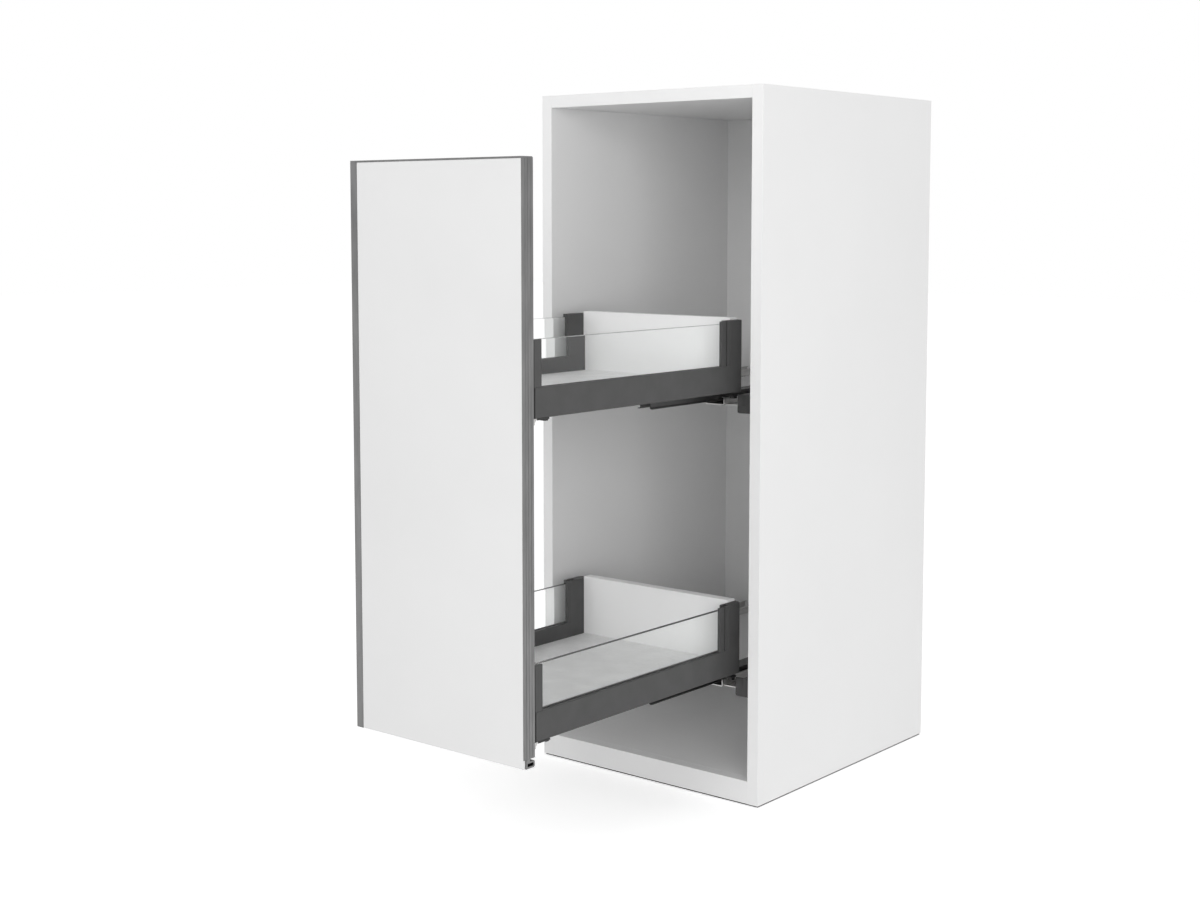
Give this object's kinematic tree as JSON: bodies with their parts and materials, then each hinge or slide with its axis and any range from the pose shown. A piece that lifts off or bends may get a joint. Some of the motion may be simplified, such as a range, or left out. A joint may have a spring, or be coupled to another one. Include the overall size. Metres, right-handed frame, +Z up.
{
  "type": "pull out pantry frame",
  "caption": "Tall narrow pull out unit: a framed front draws glass sided drawers from a white carcass on full extension roller runners.",
  "frame": {"origin": "on the ground at the middle of the carcass's front edge", "axes": "+X to the right as seen from the front, +Y to the back, +Z up; the drawers stand pulled out towards -Y"},
  "size_m": [0.4, 0.901, 1.01],
  "materials": {
    "white_board": "smooth white melamine faced board",
    "edge_band": "smooth white edge tape",
    "dowel_wood": "plain beech",
    "zinc_steel": "zinc plated sheet steel",
    "dark_steel": "black coated sheet steel",
    "screw_steel": "bright zinc plated",
    "black_plastic": "black moulded plastic",
    "dark_plastic": "dark grey moulded plastic",
    "roller_plastic": "white acetal",
    "grey_metal": "fine anthracite powder coat",
    "clear_glass": "clear toughened glass",
    "front_glass": "glass lacquered pale grey on its back",
    "frame_aluminium": "satin anodised",
    "base_board": "pale grey mottled decor board"
  },
  "bodies": {
    "carcass": {"left_side_panel": "white_board", "right_side_panel": "white_board", "top_panel": "white_board", "bottom_panel": "white_board", "back_panel": "white_board", "front_base_rail": "white_board", "rear_base_rail": "white_board", "edge_bands": "edge_band", "carcass_dowels": "dowel_wood", "back_panel_screws": "screw_steel", "wall_brackets": "dark_plastic", "runner_screws": "screw_steel", "soft_close_housings": "black_plastic", "lower_left_cabinet_rail": "zinc_steel", "lower_right_cabinet_rail": "zinc_steel", "upper_left_cabinet_rail": "zinc_steel", "upper_right_cabinet_rail": "zinc_steel"},
    "pull_out": {"drawer_screws": "screw_steel", "drawer_members": "zinc_steel", "activators": "black_plastic", "front_posts": "grey_metal", "drawer_locks": "black_plastic", "rail_end_caps": "black_plastic", "front_brackets": "zinc_steel", "front_glass": "front_glass", "right_stile": "frame_aluminium", "left_grip_stile": "frame_aluminium", "front_top_rail": "frame_aluminium", "front_bottom_rail": "frame_aluminium", "front_cross_rails": "frame_aluminium", "corner_angles": "zinc_steel", "lower_base_panel": "base_board", "lower_drawer_back": "white_board", "lower_left_side_rail": "grey_metal", "lower_left_rear_post": "grey_metal", "lower_left_side_glass": "clear_glass", "lower_right_side_rail": "grey_metal", "lower_right_rear_post": "grey_metal", "lower_right_side_glass": "clear_glass", "upper_base_panel": "base_board", "upper_drawer_back": "white_board", "upper_left_side_rail": "grey_metal", "upper_left_rear_post": "grey_metal", "upper_left_side_glass": "clear_glass", "upper_right_side_rail": "grey_metal", "upper_right_rear_post": "grey_metal", "upper_right_side_glass": "clear_glass"},
    "intermediate_rails": {"lower_left_intermediate_rail": "dark_steel", "lower_right_intermediate_rail": "dark_steel", "upper_left_intermediate_rail": "dark_steel", "upper_right_intermediate_rail": "dark_steel"},
    "lower_carriages": {"lower_carriage_cages": "black_plastic", "lower_carriage_rollers": "roller_plastic"},
    "upper_carriages": {"upper_carriage_cages": "black_plastic", "upper_carriage_rollers": "roller_plastic"},
    "catches": {"soft_close_catches": "dark_plastic"},
    "lower_left_release_lever": {"lower_left_release_lever": "black_plastic"},
    "lower_right_release_lever": {"lower_right_release_lever": "black_plastic"},
    "upper_left_release_lever": {"upper_left_release_lever": "black_plastic"},
    "upper_right_release_lever": {"upper_right_release_lever": "black_plastic"}
  },
  "joints": [
    {"name": "pull_out_slide", "type": "slide", "parent": "carcass", "child": "pull_out", "axis": [0, 1, 0], "range_m": [0, 0.414]},
    {"name": "intermediate_slide", "type": "slide", "parent": "carcass", "child": "intermediate_rails", "axis": [0, 1, 0], "range_m": [0, 0.207]},
    {"name": "lower_carriage_slide", "type": "slide", "parent": "carcass", "child": "lower_carriages", "axis": [0, 1, 0], "range_m": [0, 0.1035]},
    {"name": "upper_carriage_slide", "type": "slide", "parent": "carcass", "child": "upper_carriages", "axis": [0, 1, 0], "range_m": [0, 0.3105]},
    {"name": "catch_slide", "type": "slide", "parent": "carcass", "child": "catches", "axis": [0, 1, 0], "range_m": [0, 0.045]},
    {"name": "lower_left_lever_pivot", "type": "hinge", "parent": "pull_out", "child": "lower_left_release_lever", "pos_m": [-0.1, -0.386, 0.1788], "axis": [0, 0, -1], "range_deg": [0, 25], "stiffness_Nm_per_rad": 0.05},
    {"name": "lower_right_lever_pivot", "type": "hinge", "parent": "pull_out", "child": "lower_right_release_lever", "pos_m": [0.1, -0.386, 0.1788], "axis": [0, 0, 1], "range_deg": [0, 25], "stiffness_Nm_per_rad": 0.05},
    {"name": "upper_left_lever_pivot", "type": "hinge", "parent": "pull_out", "child": "upper_left_release_lever", "pos_m": [-0.1, -0.386, 0.5828], "axis": [0, 0, -1], "range_deg": [0, 25], "stiffness_Nm_per_rad": 0.05},
    {"name": "upper_right_lever_pivot", "type": "hinge", "parent": "pull_out", "child": "upper_right_release_lever", "pos_m": [0.1, -0.386, 0.5828], "axis": [0, 0, 1], "range_deg": [0, 25], "stiffness_Nm_per_rad": 0.05}
  ],
  "couplings": [
    {"joint": "intermediate_slide", "follows": "pull_out_slide", "ratio": 0.5},
    {"joint": "lower_carriage_slide", "follows": "pull_out_slide", "ratio": 0.25},
    {"joint": "upper_carriage_slide", "follows": "pull_out_slide", "ratio": 0.75}
  ]
}
